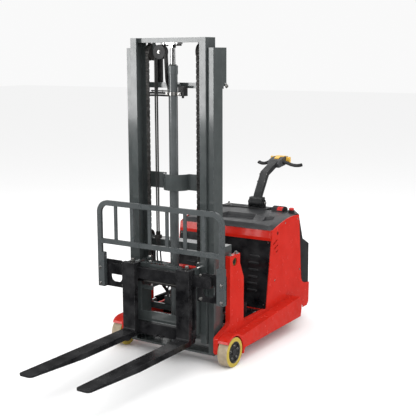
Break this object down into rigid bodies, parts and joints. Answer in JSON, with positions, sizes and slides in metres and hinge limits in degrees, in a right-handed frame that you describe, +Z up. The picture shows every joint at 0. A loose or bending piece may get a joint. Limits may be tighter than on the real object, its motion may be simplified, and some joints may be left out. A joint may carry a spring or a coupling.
{
  "type": "walkie stacker",
  "caption": "Walk-behind electric stacker with a tilting two-stage mast, side-shifting fork carriage with backrest, straddle legs with load wheels and a steering tiller.",
  "frame": {"origin": "on the floor under the middle of the truck's bounding box", "axes": "+X to the operator's left, +Y to the rear (the tiller end), +Z up; the forks point to -Y"},
  "size_m": [1.008, 2.805, 2.136],
  "materials": {
    "red_paint": "gloss",
    "black_paint": "satin",
    "fork_paint": "satin",
    "mast_paint": "satin",
    "cylinder_paint": "gloss",
    "chrome_rod": "polished",
    "bright_steel": "satin",
    "cast_metal": "rough",
    "tread": "matte",
    "cover_plastic": "textured",
    "dark_plastic": "textured",
    "arm_paint": "satin",
    "signal_yellow": "gloss",
    "signal_red": "gloss",
    "hose_rubber": "matte"
  },
  "bodies": {
    "chassis": {"chassis_base": "red_paint", "leg_left": "red_paint", "leg_right": "red_paint", "leg_plate_left": "red_paint", "leg_plate_right": "red_paint", "load_axles": "bright_steel", "trunnion_pins": "bright_steel", "upright_tie": "red_paint", "deck_plate": "black_paint", "front_panel": "black_paint", "side_panel_left": "red_paint", "side_panel_right": "red_paint", "top_cover": "cover_plastic", "console": "dark_plastic", "rear_cover": "dark_plastic", "battery": "dark_plastic", "pump_unit": "dark_plastic", "chassis_bolts": "bright_steel"},
    "outer_mast": {"outer_rail_left": "mast_paint", "outer_rail_right": "mast_paint", "outer_crossbars": "mast_paint", "trunnion_beam": "mast_paint", "lift_cylinder": "cylinder_paint"},
    "inner_mast": {"inner_rail_left": "mast_paint", "inner_rail_right": "mast_paint", "inner_crossbars": "mast_paint", "lift_rod": "chrome_rod"},
    "carriage": {"carriage_frame": "mast_paint", "shift_cylinder": "mast_paint", "lift_chains": "bright_steel", "mast_hoses": "hose_rubber"},
    "side_shifter": {"shift_frame": "black_paint", "side_plates": "black_paint", "backrest": "black_paint"},
    "fork_l": {"fork_left": "fork_paint"},
    "fork_r": {"fork_right": "fork_paint"},
    "fork_pin_l": {"fork_pin_left": "bright_steel"},
    "fork_pin_r": {"fork_pin_right": "bright_steel"},
    "load_wheel_l": {"load_tyre_left": "tread", "load_hub_left": "cast_metal"},
    "load_wheel_r": {"load_tyre_right": "tread", "load_hub_right": "cast_metal"},
    "steering": {"drive_unit": "black_paint", "tiller_base": "black_paint"},
    "drive_wheel": {"drive_wheel": "tread"},
    "tiller": {"tiller_arm": "arm_paint", "tiller_head": "dark_plastic", "tiller_grips": "dark_plastic"},
    "throttle": {"throttle_butterfly": "signal_yellow"},
    "belly_button": {"belly_button": "signal_red"},
    "lift_rocker": {"lift_rocker": "signal_yellow"},
    "emergency_stop": {"emergency_stop": "signal_red"},
    "caster_l": {"caster_fork_left": "black_paint"},
    "caster_r": {"caster_fork_right": "black_paint"},
    "caster_wheel_l": {"caster_wheel_left": "tread"},
    "caster_wheel_r": {"caster_wheel_right": "tread"},
    "chain_sheaves": {"chain_sheaves": "cast_metal"},
    "hose_pulley": {"hose_pulley": "dark_plastic"},
    "tilt_barrels": {"tilt_barrels": "black_paint"},
    "tilt_rods": {"tilt_rods": "chrome_rod"}
  },
  "joints": [
    {"name": "mast_tilt", "type": "hinge", "parent": "chassis", "child": "outer_mast", "pos_m": [0, -0.0375, 0.674], "axis": [1, 0, 0], "range_deg": [-5, 3]},
    {"name": "lift_slide", "type": "slide", "parent": "outer_mast", "child": "inner_mast", "axis": [0, 0, 1], "range_m": [-0.062, 1.3]},
    {"name": "carriage_slide", "type": "slide", "parent": "inner_mast", "child": "carriage", "axis": [0, 0, 1], "range_m": [-0.062, 1.3], "deforming": ["lift_chains", "mast_hoses"]},
    {"name": "side_shift", "type": "slide", "parent": "carriage", "child": "side_shifter", "axis": [1, 0, 0], "range_m": [-0.075, 0.075]},
    {"name": "fork_left_adjust", "type": "slide", "parent": "side_shifter", "child": "fork_l", "axis": [1, 0, 0], "range_m": [-0.12, 0.014]},
    {"name": "fork_right_adjust", "type": "slide", "parent": "side_shifter", "child": "fork_r", "axis": [1, 0, 0], "range_m": [-0.014, 0.12]},
    {"name": "fork_left_pin", "type": "slide", "parent": "fork_l", "child": "fork_pin_l", "axis": [0, 0, 1], "range_m": [0, 0.012], "stiffness_N_per_m": 600, "springref_m": -0.004},
    {"name": "fork_right_pin", "type": "slide", "parent": "fork_r", "child": "fork_pin_r", "axis": [0, 0, 1], "range_m": [0, 0.012], "stiffness_N_per_m": 600, "springref_m": -0.004},
    {"name": "load_wheel_left_spin", "type": "hinge", "parent": "chassis", "child": "load_wheel_l", "pos_m": [0.4365, -0.1715, 0.1], "axis": [1, 0, 0], "continuous": true},
    {"name": "load_wheel_right_spin", "type": "hinge", "parent": "chassis", "child": "load_wheel_r", "pos_m": [-0.4365, -0.1715, 0.1], "axis": [1, 0, 0], "continuous": true},
    {"name": "steer", "type": "hinge", "parent": "chassis", "child": "steering", "pos_m": [0, 0.9685, 0.186], "axis": [0, 0, 1], "range_deg": [-90, 90]},
    {"name": "drive_wheel_spin", "type": "hinge", "parent": "steering", "child": "drive_wheel", "pos_m": [0, 0.9685, 0.1], "axis": [1, 0, 0], "continuous": true},
    {"name": "tiller_hinge", "type": "hinge", "parent": "steering", "child": "tiller", "pos_m": [0, 0.9685, 0.896], "axis": [1, 0, 0], "range_deg": [-25, 50]},
    {"name": "throttle_turn", "type": "hinge", "parent": "tiller", "child": "throttle", "pos_m": [0, 1.3565, 1.19], "axis": [1, 0, 0], "range_deg": [-25, 25], "stiffness_Nm_per_rad": 0.8},
    {"name": "belly_button_push", "type": "slide", "parent": "tiller", "child": "belly_button", "axis": [0, -1, 0], "range_m": [0, 0.008], "stiffness_N_per_m": 800, "springref_m": -0.002},
    {"name": "lift_rocker_turn", "type": "hinge", "parent": "tiller", "child": "lift_rocker", "pos_m": [0, 1.2975, 1.203], "axis": [1, 0, 0], "range_deg": [-8, 8], "stiffness_Nm_per_rad": 0.4},
    {"name": "emergency_stop_push", "type": "slide", "parent": "chassis", "child": "emergency_stop", "axis": [0, 0, -1], "range_m": [0, 0.005]},
    {"name": "caster_left_swivel", "type": "hinge", "parent": "chassis", "child": "caster_l", "pos_m": [0.29, 0.8385, 0.148], "axis": [0, 0, 1], "continuous": true},
    {"name": "caster_right_swivel", "type": "hinge", "parent": "chassis", "child": "caster_r", "pos_m": [-0.29, 0.8385, 0.148], "axis": [0, 0, 1], "continuous": true},
    {"name": "caster_wheel_left_spin", "type": "hinge", "parent": "caster_l", "child": "caster_wheel_l", "pos_m": [0.29, 0.8705, 0.062], "axis": [1, 0, 0], "continuous": true},
    {"name": "caster_wheel_right_spin", "type": "hinge", "parent": "caster_r", "child": "caster_wheel_r", "pos_m": [-0.29, 0.8705, 0.062], "axis": [1, 0, 0], "continuous": true},
    {"name": "chain_sheave_turn", "type": "hinge", "parent": "inner_mast", "child": "chain_sheaves", "pos_m": [0, -0.1235, 2.046], "axis": [1, 0, 0], "range_deg": [-1500, 75]},
    {"name": "hose_pulley_turn", "type": "hinge", "parent": "inner_mast", "child": "hose_pulley", "pos_m": [-0.085, -0.181, 2.046], "axis": [0, 1, 0], "range_deg": [-95, 1880]},
    {"name": "tilt_barrel_swing", "type": "hinge", "parent": "chassis", "child": "tilt_barrels", "pos_m": [0, 0.2285, 0.3], "axis": [1, 0, 0], "range_deg": [-1, 1]},
    {"name": "tilt_rod_slide", "type": "slide", "parent": "tilt_barrels", "child": "tilt_rods", "axis": [0, -1, 0], "range_m": [-0.021, 0.034]}
  ],
  "couplings": [
    {"joint": "carriage_slide", "follows": "lift_slide", "ratio": 1},
    {"joint": "chain_sheave_turn", "follows": "lift_slide", "rad_per_m": -20},
    {"joint": "hose_pulley_turn", "follows": "lift_slide", "rad_per_m": 25},
    {"joint": "tilt_barrel_swing", "follows": "mast_tilt", "ratio": 0.083},
    {"joint": "tilt_rod_slide", "follows": "mast_tilt", "m_per_rad": -0.374}
  ]
}
